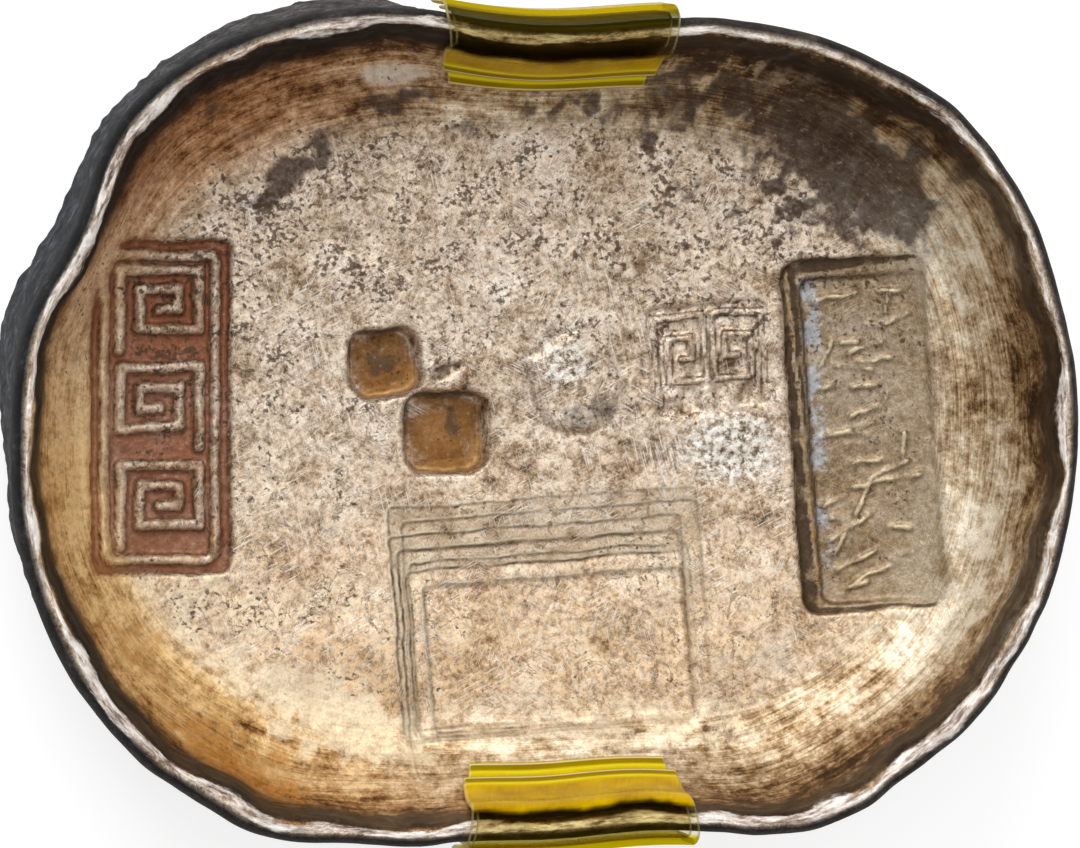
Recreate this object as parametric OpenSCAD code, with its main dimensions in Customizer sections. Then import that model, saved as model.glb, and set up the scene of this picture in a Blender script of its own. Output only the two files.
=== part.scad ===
// Oval trough-shaped silver ingot, cast in one piece, with a two-layer translucent clip
// pushed over each long side of its rim. Millimetres. The origin is the middle of the
// resting base, +X runs along the ingot and +Z points up out of the trough.

/* [Casting] */
// Length over the rim's lip
ingot_length = 61.8; // [54:0.2:72]
// Width over the rim's lip
ingot_width = 48.4; // [42:0.2:56]
// Height of the rim's crest above the resting base
rim_height = 15; // [13:0.25:18]
// Extra height of the crest at the two ends
end_rise = 0.6; // [0:0.1:1.5]
// Silver under the middle of the trough floor
floor_thickness = 6.2; // [5:0.1:8]
// Rise of the floor from its middle to the foot of the inner wall
floor_dish = 0.5; // [0:0.1:1]
// Squareness of the oval, where 2 is an ellipse
oval_power = 2.65; // [2.2:0.05:3.2]
// Lean of the outer wall from upright, in degrees
wall_lean = 5; // [2:0.5:8]
// Radius of the rounded foot
foot_radius = 4.5; // [2:0.25:6]
// Thickness of the rolled lip
lip_thickness = 1.5; // [1.1:0.1:2]
// Height of the lip's rounded top
lip_crown = 1.3; // [0.8:0.1:1.8]
// Run of the inner wall from the lip to the floor
wall_run = 6.5; // [5.5:0.25:7.5]

/* [All panels] */
// Radius of the rounded corners of the left and lower panels and the small stamp
panel_corner = 0.55; // [0.3:0.05:0.9]

/* [Left panel] */
// Width of the sunk left panel
left_panel_width = 7.8; // [6.5:0.1:9]
// Length of the sunk left panel
left_panel_length = 19.2; // [17:0.2:22]
// Depth of its ground below the floor
left_panel_depth = 0.7; // [0.4:0.05:1.2]
// Distance of its middle from the ingot's left end
left_panel_from_end = 9.9; // [9:0.1:12]
// Distance of its middle above the ingot's long axis
left_panel_offset = 1; // [-2:0.1:2]
// Bare margin between the panel's edge and its raised frame
frame_margin = 0.55; // [0.3:0.05:0.9]
// Width of the raised frame
frame_width = 0.6; // [0.4:0.05:0.9]
// Width of the raised fret lines
fret_line = 0.62; // [0.4:0.02:0.8]
// Distance between neighbouring fret lines
fret_pitch = 1.16; // [1:0.02:1.2]
// Number of squared spirals in the fret
fret_count = 3; // [2:1:3]

/* [Right panel] */
// Width of the sunk right panel
right_panel_width = 8.4; // [7:0.1:10]
// Length of the sunk right panel
right_panel_length = 20.6; // [18:0.2:23]
// Depth along its deep inner edge
right_panel_depth = 0.9; // [0.5:0.05:1.3]
// Lean of its ground up towards the end wall, in degrees
right_panel_lean = 3; // [0:0.5:6]
// Distance of its middle from the ingot's right end
right_panel_from_end = 10.9; // [9.5:0.1:13]
// Distance of its middle above the ingot's long axis
right_panel_offset = -0.8; // [-2:0.1:2]
// Turn of the panel, in degrees
right_panel_turn = 3; // [-6:0.5:6]
// Radius of its rounded corners
right_panel_corner = 1; // [0.4:0.1:1.6]

/* [Lower panel] */
// Length of the innermost strike
lower_panel_length = 16.3; // [14:0.1:18]
// Width of the innermost strike
lower_panel_width = 9.3; // [7:0.1:10]
// Depth of each strike below the one round it
strike_depth = 0.16; // [0.1:0.02:0.3]
// Distance of its middle along the ingot from the middle
lower_panel_along = 1.6; // [-3:0.1:5]
// Distance of its middle from the ingot's near long side
lower_panel_from_side = 11.5; // [11:0.1:13]
// Turn of the panel, in degrees
lower_panel_turn = 4; // [-6:0.5:6]

/* [Punches] */
// Width of the first square punch
first_punch_size = 4.1; // [3:0.1:5]
// Width of the second square punch
second_punch_size = 4.7; // [4:0.1:5.5]
// Depth of both square punches
punch_depth = 1.9; // [1:0.1:3]
// Radius of the punches' rounded corners
punch_corner = 1.1; // [0.4:0.1:1.4]
// Place of the first square punch along the ingot and across it
first_punch_along = -8.3; // [-9.5:0.1:-7.5]
first_punch_across = 3.5; // [3:0.1:5]
// Turn of the first square punch, in degrees
first_punch_turn = 6; // [-10:1:10]
// Place of the second square punch along the ingot and across it
second_punch_along = -4.6; // [-5:0.1:-3.5]
second_punch_across = -0.6; // [-1.5:0.1:0]
// Turn of the second square punch, in degrees
second_punch_turn = 0; // [-10:1:10]
// Width of the small fret stamp
small_stamp_width = 6.8; // [5.5:0.1:8]
// Height of the small fret stamp
small_stamp_height = 6.3; // [5.5:0.1:7]
// Depth of the small fret stamp
small_stamp_depth = 0.45; // [0.2:0.05:0.8]
// Width of the small stamp's raised lines
small_stamp_line = 0.4; // [0.3:0.02:0.5]
// Distance between its upright lines
small_stamp_pitch = 0.72; // [0.6:0.02:0.76]
// Distance between its level lines
small_stamp_rise = 1.25; // [0.8:0.05:1.3]
// Place of the small fret stamp along the ingot and across it
small_stamp_along = 11; // [10:0.1:11.5]
small_stamp_across = 3.7; // [2:0.1:5]
// Turn of the small fret stamp, in degrees
small_stamp_turn = 5; // [-10:1:10]
// Diameter of the worn round boss
boss_diameter = 5.4; // [4:0.1:7]
// Height of the worn round boss
boss_height = 0.3; // [0.1:0.05:0.6]
// Place of the worn round boss along the ingot and across it
boss_along = 3.1; // [2:0.1:4]
boss_across = 2.3; // [1:0.1:4]

/* [Clips] */
// Length of a clip over the rim
clip_length = 13.8; // [8:0.2:18]
// Length of a clip at its inner tip
clip_tip_length = 12.2; // [6:0.2:13]
// Thickness of the outer sleeve
sleeve_wall = 0.4; // [0.3:0.05:0.9]
// Thickness of the inner liner
liner_wall = 0.25; // [0.2:0.05:0.5]
// Gap between the liner and the sleeve
layer_gap = 0.04; // [0.02:0.02:0.1]
// How much shorter the liner is than the sleeve at each end
liner_margin = 0.4; // [0.1:0.1:1]
// How far in from the lip's outer face the sleeve follows the wall
sleeve_reach = 3.1; // [2.1:0.1:3.2]
// How far in from the lip's outer face the liner follows the wall
liner_reach = 4.2; // [3.3:0.1:4.5]
// Length of the sleeve's outer leg below the crest
outer_leg = 6; // [3:0.25:8]
// How far the liner's outer leg stops short of the sleeve's
liner_leg_margin = 0.5; // [0.2:0.1:1]
// Clearance between the liner and the silver
clip_clearance = 0.15; // [0.1:0.05:0.4]
// Place of the rear clip along the ingot
rear_clip_along = 1.1; // [-4:0.1:4]
// Place of the front clip along the ingot
front_clip_along = 2.3; // [-4:0.1:4]

/* [Hidden] */

silver = "#b9aea3";
amber = "#d9ac0a";
pale_amber = "#e6c94a";

// Hand-worked swells and dents of the rim: angles from +X, spreads in degrees, and heights
dent_angles = [0, 22, 55, 88, 110, 125, 157, 203, 235, 262, 285, 304, 330];
dent_spread_angles = [10, 12, 12, 17, 8, 16, 11, 9, 10, 8, 15, 10, 14];
dent_heights = [0.45, -0.25, 0.15, -0.95, 0.45, 0.75, -1.7, -0.4, 1.05, -0.25, -0.75, 0.95, -0.25];
// Swellings of the outer wall low down at the left shoulder, in the same way
belly_angles = [111, 128, 148, 166];
belly_spread_angles = [13, 13, 11, 11];
belly_heights = [1.05, 0.95, 0.5, 1.1];

half_length = ingot_length / 2;
half_width = ingot_width / 2;
lip_z = rim_height - lip_crown;
floor_edge_z = floor_thickness + floor_dish;
floor_inset = lip_thickness + wall_run;
// Points round the casting, and the height of the cuts above the floor that they open
around_count = 96;
overcut = 6;

// Height of one Gaussian swell or dent at an angle
function swell(angle, middle, spread, height) =
    let (apart = (angle - middle + 540) % 360 - 180)
    height * exp(-pow(apart / spread, 2));

// Sums of all the rim's swells and dents, and of the wall's bellies, at an angle
function dents(angle, k = 0) =
    k == len(dent_angles) ? 0
        : swell(angle, dent_angles[k], dent_spread_angles[k], dent_heights[k]) + dents(angle, k + 1);
function bellies(angle, k = 0) =
    k == len(belly_angles) ? 0
        : swell(angle, belly_angles[k], belly_spread_angles[k], belly_heights[k]) + bellies(angle, k + 1);

// Radius of a plain oval at an angle
function oval_radius(angle, half_x, half_y) =
    pow(pow(abs(cos(angle)) / half_x, oval_power) + pow(abs(sin(angle)) / half_y, oval_power),
        -1 / oval_power);

// Inset of the leaning outer wall at a height
function outer_inset(z) = (lip_z - z) * tan(wall_lean);

// The section from the base's edge, up the outer wall, over the lip and down to the floor.
// Each entry is inset from the lip's outer face, height, share of the dents, share of the bellies.
foot_section = [for (a = [90:-22.5:0])
    [outer_inset(foot_radius) + foot_radius * (1 - cos(a)), foot_radius * (1 - sin(a)), 1, sin(90 - a)]];
wall_section = [for (part = [1, 2])
    let (z = foot_radius + (lip_z - foot_radius) * part / 3)
    [outer_inset(z), z, 1, 1 - part / 3]];
lip_section = [for (b = [0:22.5:180])
    [lip_thickness / 2 * (1 - cos(b)), lip_z + lip_crown * sin(b), 1, 0]];
inner_section = [for (g = [15:15:90])
    [lip_thickness + wall_run * (1 - cos(g)),
     floor_edge_z + (lip_z - floor_edge_z) * (1 - sin(g)), cos(g), 0]];
section = concat(foot_section, wall_section, lip_section, inner_section);

// A point of the casting's skin at an angle, for one entry of the section
function skin_point(angle, entry) =
    let (
        radius = oval_radius(angle, half_length - entry[0], half_width - entry[0])
            + entry[2] * dents(angle) + entry[3] * bellies(angle),
        z = entry[1] + end_rise * pow(entry[1] / rim_height, 3) * pow(cos(angle), 2)
    )
    [radius * cos(angle), radius * sin(angle), z];

// A point of the dished floor at an angle and a share of the way out from its middle
function floor_point(angle, share) =
    let (
        radius = share * oval_radius(angle, half_length - floor_inset, half_width - floor_inset),
        rise = end_rise * pow(floor_edge_z / rim_height, 3) * pow(cos(angle), 2)
    )
    [radius * cos(angle), radius * sin(angle), floor_thickness + pow(share, 2) * (floor_dish + rise)];

// Height of the floor or the lower inner wall above a place, without the rim's dents
function oval_share(x, y, inset) =
    pow(abs(x) / (half_length - inset), oval_power) + pow(abs(y) / (half_width - inset), oval_power);
function wall_inset(x, y, low = 0, high = floor_inset, turns = 24) =
    let (mid = (low + high) / 2)
    turns == 0 ? mid
        : oval_share(x, y, mid) > 1 ? wall_inset(x, y, low, mid, turns - 1)
        : wall_inset(x, y, mid, high, turns - 1);
function ground_z(x, y) =
    let (share = pow(oval_share(x, y, floor_inset), 1 / oval_power))
    share <= 1 ? floor_thickness + pow(share, 2) * floor_dish
        : let (run = (wall_inset(x, y) - lip_thickness) / wall_run)
          floor_edge_z + (lip_z - floor_edge_z) * (1 - sqrt(max(0, 1 - pow(1 - run, 2))));

// The bare casting: the section carried round the oval, closed by the base and the floor
module bare_casting() {
    angles = [for (i = [0:around_count - 1]) i * 360 / around_count];
    rings = concat(
        [for (entry = section) [for (a = angles) skin_point(a, entry)]],
        [for (share = [2 / 3, 1 / 3]) [for (a = angles) floor_point(a, share)]]
    );
    base_middle = len(rings) * around_count;
    floor_middle = base_middle + 1;
    last = len(rings) - 1;
    points = concat([for (ring = rings) each ring], [[0, 0, 0], [0, 0, floor_thickness]]);
    sides = [for (r = [0:last - 1]) for (i = [0:around_count - 1])
        let (n = (i + 1) % around_count, low = r * around_count, high = low + around_count)
        each [[low + i, high + i, high + n], [low + i, high + n, low + n]]];
    base = [for (i = [0:around_count - 1]) [base_middle, i, (i + 1) % around_count]];
    floor = [for (i = [0:around_count - 1])
        [floor_middle, last * around_count + (i + 1) % around_count, last * around_count + i]];
    polyhedron(points, concat(base, sides, floor), convexity = 6);
}

// A rectangle with rounded corners about the origin
module rounded_plate(width, length, corner, height) {
    steps = 4;
    linear_extrude(height)
        polygon([for (c = [[1, 1, 0], [-1, 1, 90], [-1, -1, 180], [1, -1, 270]])
            for (k = [0:steps])
                let (a = c[2] + k * 90 / steps)
                [c[0] * (width / 2 - corner) + corner * cos(a),
                 c[1] * (length / 2 - corner) + corner * sin(a)]]);
}

// A straight bar between two places on a grid of the given pitch along X and Y
module fret_bar(from, to, pitch, line) {
    low = [min(from[0], to[0]) * pitch[0], min(from[1], to[1]) * pitch[1]];
    size = [abs(from[0] - to[0]) * pitch[0], abs(from[1] - to[1]) * pitch[1]];
    translate(low - [line / 2, line / 2])
        square(size + [line, line]);
}

// A squared spiral, the unit of the key fret, whose corners are places on the grid
module squared_spiral(pitch, line) {
    corners = [[0, 0], [1, 0], [1, 1], [-1, 1], [-1, -1], [2, -1], [2, 2], [-2, 2], [-2, -2]];
    for (k = [0:len(corners) - 2])
        fret_bar(corners[k], corners[k + 1], pitch, line);
}

// The left panel: a sunk ground with a raised frame and a raised fret
module left_panel_cut() {
    x = left_panel_from_end - half_length;
    high = ground_z(x - left_panel_width / 2, left_panel_offset);
    low = ground_z(x + left_panel_width / 2, left_panel_offset);
    inner = frame_margin + frame_width;
    cell = (left_panel_length - 2 * inner) / fret_count;
    translate([x, left_panel_offset, (high + low) / 2])
        rotate([0, atan2(high - low, left_panel_width), 0])
            translate([0, 0, -left_panel_depth])
                difference() {
                    rounded_plate(left_panel_width, left_panel_length, panel_corner, overcut);
                    difference() {
                        rounded_plate(left_panel_width - 2 * frame_margin,
                            left_panel_length - 2 * frame_margin, panel_corner, overcut);
                        rounded_plate(left_panel_width - 2 * inner, left_panel_length - 2 * inner,
                            panel_corner, overcut);
                    }
                    for (k = [0:fret_count - 1])
                        translate([0, (k - (fret_count - 1) / 2) * cell, 0])
                            mirror([k % 2, 0, 0])
                                linear_extrude(overcut)
                                    squared_spiral([fret_pitch, fret_pitch], fret_line);
                }
}

// The right panel: one deep inner edge, its ground leaning up to the end wall
module right_panel_cut() {
    x = half_length - right_panel_from_end;
    inner_x = x - right_panel_width / 2;
    translate([inner_x, right_panel_offset, ground_z(inner_x, right_panel_offset) - right_panel_depth])
        rotate([0, -right_panel_lean, right_panel_turn])
            translate([right_panel_width / 2, 0, 0])
                rounded_plate(right_panel_width, right_panel_length, right_panel_corner, overcut);
}

// The lower panel: nested strikes, each shifted and sunk a little below the one round it.
// Each strike is its growth in length, growth in width, shift along and shift across.
strikes = [[1.9, 3.6, 0.1, 1.8], [0.9, 2.4, -0.4, 1.2], [0.6, 3.9, -0.2, -0.8], [0, 0, 0, 0]];
module lower_panel_cut() {
    y = lower_panel_from_side - half_width;
    for (k = [0:len(strikes) - 1])
        translate([lower_panel_along, y, ground_z(lower_panel_along, y) - strike_depth * (k + 1)])
            rotate([0, 0, lower_panel_turn])
                translate([strikes[k][2], strikes[k][3], 0])
                    rounded_plate(lower_panel_length + strikes[k][0], lower_panel_width + strikes[k][1],
                        panel_corner, overcut);
}

// Two square punches that almost meet at a corner
first_punch_place = [first_punch_along, first_punch_across];
second_punch_place = [second_punch_along, second_punch_across];
module punch_cut(place, size, turn) {
    translate([place[0], place[1], ground_z(place[0], place[1]) - punch_depth])
        rotate([0, 0, turn])
            rounded_plate(size, size, punch_corner, overcut);
}

// A small stamp with two squared spirals side by side
small_stamp_place = [small_stamp_along, small_stamp_across];
module small_stamp_cut() {
    translate([small_stamp_place[0], small_stamp_place[1],
               ground_z(small_stamp_place[0], small_stamp_place[1]) - small_stamp_depth])
        rotate([0, 0, small_stamp_turn])
            difference() {
                rounded_plate(small_stamp_width, small_stamp_height, panel_corner, overcut);
                for (side = [-1, 1])
                    translate([side * small_stamp_width / 4, 0, 0])
                        mirror([side > 0 ? 1 : 0, 0, 0])
                            linear_extrude(overcut)
                                squared_spiral([small_stamp_pitch, small_stamp_rise], small_stamp_line);
            }
}

// The worn round boss
boss_place = [boss_along, boss_across];
module boss() {
    ground = ground_z(boss_place[0], boss_place[1]);
    translate([boss_place[0], boss_place[1], ground - boss_height])
        cylinder(d = boss_diameter, h = 2 * boss_height, $fn = 48);
}

module ingot() {
    color(silver)
        difference() {
            union() {
                bare_casting();
                boss();
            }
            left_panel_cut();
            right_panel_cut();
            lower_panel_cut();
            punch_cut(first_punch_place, first_punch_size, first_punch_turn);
            punch_cut(second_punch_place, second_punch_size, second_punch_turn);
            small_stamp_cut();
        }
}

// Angle of the place on an inset oval that lies a distance along the ingot, on one side
function side_angle(along, side, inset) =
    atan2(side * (half_width - inset)
        * pow(1 - pow(abs(along) / (half_length - inset), oval_power), 1 / oval_power), along);

// The line that a clip layer's face follows over the rim at an offset from the silver: up an
// upright outer leg, over the crest and down the inner wall as far as the reach.
// Each entry is inset from the lip's outer face, height and share of the dents.
slot_step_angle = 6;
function slot_line(offset, reach, leg) =
    let (last_angle = acos(1 - (reach - lip_thickness) / wall_run))
    concat(
        [[-offset, rim_height - leg, 1]],
        [for (b = [0:15:180])
            [lip_thickness / 2 - (lip_thickness / 2 + offset) * cos(b),
             lip_z + (lip_crown + offset) * sin(b), 1]],
        [for (g = concat([for (k = [slot_step_angle:slot_step_angle:last_angle - 1]) k], [last_angle]))
            [lip_thickness + wall_run * (1 - cos(g)) + offset * cos(g),
             floor_edge_z + (lip_z - floor_edge_z) * (1 - sin(g)) + offset * sin(g), cos(g)]]
    );

// Half the length of a clip layer at an inset: full over the rim, drawn in towards its tip
function clip_half(inset, margin) =
    let (share = max(0, inset) / (liner_reach + clip_clearance + liner_wall))
    (clip_length + (clip_tip_length - clip_length) * min(1, share)) / 2 - margin;

// One layer of a clip: a bent band of even thickness that follows the rim
module clip_layer(along, side, offset, wall, reach, leg, margin) {
    stations = 10;
    near = slot_line(offset, reach, leg);
    far = slot_line(offset + wall, reach, leg);
    last = len(near) - 1;
    points = [for (j = [0:stations]) for (line = [near, far]) for (entry = line)
        let (place = along + side * (2 * j / stations - 1) * clip_half(entry[0], margin))
        skin_point(side_angle(place, side, entry[0]), concat(entry, [0]))];
    // Number of a point: station, place on the line, and 0 on the near line or 1 on the far line
    function number(j, k, layer) = (2 * j + layer) * (last + 1) + k;
    faces = concat(
        [for (j = [0:stations - 1]) for (k = [0:last - 1])
            [number(j, k, 0), number(j, k + 1, 0), number(j + 1, k + 1, 0), number(j + 1, k, 0)]],
        [for (j = [0:stations - 1]) for (k = [0:last - 1])
            [number(j + 1, k, 1), number(j + 1, k + 1, 1), number(j, k + 1, 1), number(j, k, 1)]],
        [for (j = [0:stations - 1])
            [number(j, 0, 0), number(j + 1, 0, 0), number(j + 1, 0, 1), number(j, 0, 1)]],
        [for (j = [0:stations - 1])
            [number(j, last, 0), number(j, last, 1), number(j + 1, last, 1), number(j + 1, last, 0)]],
        [for (k = [0:last - 1])
            [number(0, k, 0), number(0, k, 1), number(0, k + 1, 1), number(0, k + 1, 0)]],
        [for (k = [0:last - 1])
            [number(stations, k, 0), number(stations, k + 1, 0),
             number(stations, k + 1, 1), number(stations, k, 1)]]
    );
    triangles = [for (f = faces) each [[f[0], f[1], f[2]], [f[0], f[2], f[3]]]];
    polyhedron(points, triangles, convexity = 6);
}

module clip_sleeve(along, side) {
    color(amber)
        clip_layer(along, side, clip_clearance + liner_wall + layer_gap, sleeve_wall,
            sleeve_reach, outer_leg, 0);
}

module clip_liner(along, side) {
    color(pale_amber)
        clip_layer(along, side, clip_clearance, liner_wall,
            liner_reach, outer_leg - liner_leg_margin, liner_margin);
}

module rear_clip_sleeve() { clip_sleeve(rear_clip_along, 1); }
module rear_clip_liner() { clip_liner(rear_clip_along, 1); }
module front_clip_sleeve() { clip_sleeve(front_clip_along, -1); }
module front_clip_liner() { clip_liner(front_clip_along, -1); }

ingot();
rear_clip_sleeve();
rear_clip_liner();
front_clip_sleeve();
front_clip_liner();
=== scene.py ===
import functools
import math
import bpy
import numpy as np
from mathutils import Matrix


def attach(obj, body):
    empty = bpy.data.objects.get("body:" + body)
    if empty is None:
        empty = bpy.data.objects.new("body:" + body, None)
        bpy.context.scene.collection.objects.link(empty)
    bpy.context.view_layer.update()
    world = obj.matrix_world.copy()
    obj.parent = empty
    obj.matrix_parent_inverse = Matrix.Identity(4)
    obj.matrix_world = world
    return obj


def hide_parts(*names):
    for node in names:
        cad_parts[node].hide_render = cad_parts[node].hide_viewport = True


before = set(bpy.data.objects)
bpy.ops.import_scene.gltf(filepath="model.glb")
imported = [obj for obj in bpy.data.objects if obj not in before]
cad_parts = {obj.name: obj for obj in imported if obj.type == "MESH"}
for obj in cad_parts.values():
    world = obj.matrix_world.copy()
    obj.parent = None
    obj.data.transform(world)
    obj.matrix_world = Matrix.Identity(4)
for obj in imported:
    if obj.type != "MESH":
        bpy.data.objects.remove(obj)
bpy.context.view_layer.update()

# The casting, its form
# One pour of fine silver in an open mould: an oval trough with a rounded foot and a flat base.
# The rim was hammered into a rolled lip while soft, so it swells and dents all the way round.
mm = 0.001
half_length, half_width = 30.9, 24.2
rim_height, end_rise = 15.0, 0.6
floor_thickness, floor_dish = 6.2, 0.5
oval_power = 2.65
wall_lean = math.radians(5)
foot_radius = 4.5
lip_thickness, lip_crown = 1.5, 1.3
wall_run = 6.5
lip_z = rim_height - lip_crown
floor_edge_z = floor_thickness + floor_dish
floor_inset = lip_thickness + wall_run
dent_angles = (0, 22, 55, 88, 110, 125, 157, 203, 235, 262, 285, 304, 330)
dent_spreads = (10, 12, 12, 17, 8, 16, 11, 9, 10, 8, 15, 10, 14)
dent_heights = (0.45, -0.25, 0.15, -0.95, 0.45, 0.75, -1.7, -0.4, 1.05, -0.25, -0.75, 0.95, -0.25)
belly_angles, belly_spreads, belly_heights = (111, 128, 148, 166), (13, 13, 11, 11), (1.05, 0.95, 0.5, 1.1)
rear_clip_along, front_clip_along = 1.1, 2.3
clip_length = 13.8


def swells(angle, middles, spreads, heights):
    """Gaussian swells summed: height times exp of minus the squared degrees apart over the spread."""
    total = np.zeros(np.shape(angle))
    for middle, spread, tall in zip(middles, spreads, heights):
        apart = (np.degrees(angle) - middle + 540) % 360 - 180
        total = total + tall * np.exp(-((apart / spread) ** 2))
    return total


def dents(angle):
    """Height of the hammered swells and dents of the rim at an angle."""
    return swells(angle, dent_angles, dent_spreads, dent_heights)


def oval_radius(angle, inset):
    """Radius of the squared oval at an inset: the power mean of its two half axes seen along the angle."""
    along = np.abs(np.cos(angle)) / (half_length - inset)
    across = np.abs(np.sin(angle)) / (half_width - inset)
    return (along**oval_power + across**oval_power) ** (-1 / oval_power)


def smooth(low, high, value):
    """An S-curve from 0 at low to 1 at high."""
    share = np.clip((value - low) / (high - low), 0, 1)
    return share * share * (3 - 2 * share)


def rumple(places, size, seed):
    """An uneven field of about unit height: sine waves near one length, in seeded directions."""
    waves = 28
    chance = np.random.default_rng(seed)
    ways = chance.normal(size=(waves, places.shape[-1]))
    ways *= 2 * np.pi / size / np.linalg.norm(ways, axis=1, keepdims=True)
    ways *= chance.uniform(0.5, 1.9, (waves, 1))
    return np.sin(places @ ways.T + chance.uniform(0, 2 * np.pi, waves)).sum(-1) / math.sqrt(waves)


def graded(stops):
    """Grid lines from the first stop to the last, each stretch cut evenly at its own spacing."""
    cuts = []
    for (start, spacing), (end, _) in zip(stops[:-1], stops[1:]):
        cuts.append(np.linspace(start, end, round((end - start) / spacing), endpoint=False))
    return np.concatenate(cuts + [[stops[-1][0]]])


# The floor's grid lines lie closest where the marks are
floor_x, floor_y = half_length - floor_inset, half_width - floor_inset
lines_x = graded([
    (-floor_x, 0.13), (-17, 0.3), (-10.7, 0.2), (7.3, 0.17), (14.7, 0.27), (15.5, 0.16), (floor_x, 0)])
lines_y = graded([(-floor_y, 0.18), (-8.8, 0.15), (10.8, 0.3), (floor_y, 0)])
grid_s, grid_t = np.meshgrid(lines_x / floor_x, lines_y / floor_y, indexing="ij")
# The square grid is eased into the oval: each square ring is a squared oval, whose corners draw in with
# the square of the way out and reach the floor's own power at its edge
ring = np.maximum(np.abs(grid_s), np.abs(grid_t))
corner_draw = 1 - 2 ** (-1 / oval_power)
power = np.minimum(-1 / np.log2(1 - corner_draw * np.maximum(ring, 0.05) ** 2), 60)
reach = np.maximum(np.hypot(grid_s, grid_t), 1e-9)
squeeze = (np.abs(grid_s / reach) ** power + np.abs(grid_t / reach) ** power) ** (-1 / power) * ring / reach
squeeze = np.where(ring > 0, squeeze, 1)
floor_plan_x = grid_s * floor_x * squeeze
floor_plan_y = grid_t * floor_y * squeeze

# The grid's edge, anticlockwise, carries on up the wall, over the lip and down to the base
count_x, count_y = grid_s.shape
number = np.arange(count_x * count_y).reshape(count_x, count_y)
edge = np.concatenate([number[:-1, 0], number[-1, :-1], number[:0:-1, -1], number[0, :0:-1]])
edge_angle = np.arctan2(floor_plan_y.ravel()[edge], floor_plan_x.ravel()[edge])

inner_inset = graded([(lip_thickness, 0.34), (4.6, 0.17), (floor_inset, 0)])[-2:0:-1]
inner_turn = np.arccos(1 - (inner_inset - lip_thickness) / wall_run)
lip_turn = np.linspace(np.pi, 0, 13)
wall_z = np.linspace(lip_z, foot_radius, 11)[1:-1]
foot_turn = np.linspace(0, np.pi / 2, 7)
base_share = np.array([0.97, 0.5])
foot_lean = (lip_z - foot_radius) * math.tan(wall_lean)
inner_count, lip_count, base_count = len(inner_inset), len(lip_turn), len(base_share)
ring_inset = np.concatenate([
    inner_inset, lip_thickness / 2 * (1 - np.cos(lip_turn)), (lip_z - wall_z) * math.tan(wall_lean),
    foot_lean + foot_radius * (1 - np.cos(foot_turn)), np.full(base_count, foot_lean + foot_radius)])[:, None]
ring_z = np.concatenate([
    floor_edge_z + (lip_z - floor_edge_z) * (1 - np.sin(inner_turn)), lip_z + lip_crown * np.sin(lip_turn),
    wall_z, foot_radius * (1 - np.sin(foot_turn)), np.zeros(base_count)])[:, None]
ring_count = len(ring_inset)
ring_dent = np.concatenate([np.cos(inner_turn), np.ones(ring_count - inner_count)])[:, None]
ring_belly = np.concatenate([
    np.zeros(inner_count + lip_count), (lip_z - wall_z) / (lip_z - foot_radius), np.cos(foot_turn),
    np.zeros(base_count)])[:, None]
ring_share = np.concatenate([np.ones(ring_count - base_count), base_share])[:, None]
ring_lip = np.concatenate([np.full(inner_count, np.pi), lip_turn,
                           np.zeros(ring_count - inner_count - lip_count)])[:, None]

# The hammered lip wanders a little in plan, in height and in thickness, but less under the clips
edge_way = np.stack([np.cos(edge_angle), np.sin(edge_angle)], -1) * 25
edge_x = oval_radius(edge_angle, 0) * np.cos(edge_angle)
from_clip = np.abs(edge_x - np.where(np.sin(edge_angle) > 0, rear_clip_along, front_clip_along))
clear = 0.12 + 0.88 * smooth(clip_length / 2 + 0.3, clip_length / 2 + 2.5, from_clip)
ends = 1 - 0.8 * np.cos(edge_angle) ** 8
near_lip = smooth(lip_z - 5, lip_z, ring_z) * smooth(5, 2, ring_inset)
wander = (0.1 * rumple(edge_way, 11, 1) + 0.03 * rumple(edge_way, 3.5, 2)) * clear * ends
lift = (0.12 * rumple(edge_way, 8, 3) + 0.025 * rumple(edge_way, 2.5, 4)) * clear
thick = (0.25 * rumple(edge_way, 7, 5) + 0.05 * rumple(edge_way, 2.2, 6)) * clear
inset_here = ring_inset * (1 + 0.6 * thick * near_lip * smooth(0.2, 1.5, ring_inset))
radius = oval_radius(edge_angle, inset_here) + ring_dent * dents(edge_angle) + wander * near_lip
radius = (radius + ring_belly * swells(edge_angle, belly_angles, belly_spreads, belly_heights)) * ring_share
ring_x = radius * np.cos(edge_angle)
ring_y = radius * np.sin(edge_angle)
ring_height = ring_z + end_rise * (ring_z / rim_height) ** 3 * np.cos(edge_angle) ** 2 + lift * near_lip

# The dished floor rises with the square of the way out and levels off where the wall starts
floor_angle = np.arctan2(floor_plan_y, floor_plan_x)
edge_rise = end_rise * (floor_edge_z / rim_height) ** 3 * np.cos(floor_angle) ** 2
floor_height = floor_thickness + ring**2 * (2 - ring**2) * (floor_dish + edge_rise)

# All points in one list, each with its inset from the lip and its angle on the lip's round
floor_points = number.size
point_count = floor_points + ring_x.size
plan_x = np.concatenate([floor_plan_x.ravel(), ring_x.ravel()])
plan_y = np.concatenate([floor_plan_y.ravel(), ring_y.ravel()])
height = np.concatenate([floor_height.ravel(), ring_height.ravel()])
inset = np.concatenate([(floor_inset + (1 - ring) * floor_y).ravel(),
                        np.broadcast_to(ring_inset, ring_x.shape).ravel()])
lip_round = np.concatenate([np.full(floor_points, np.pi), np.broadcast_to(ring_lip, ring_x.shape).ravel()])
angle = np.arctan2(plan_y, plan_x)
plan = np.stack([plan_x, plan_y], -1)
inner_side = lip_round > np.pi / 2
on_base = np.broadcast_to(ring_z < 0.01, ring_x.shape).ravel()
base_side = np.concatenate([np.zeros(floor_points, bool), on_base])

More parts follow.
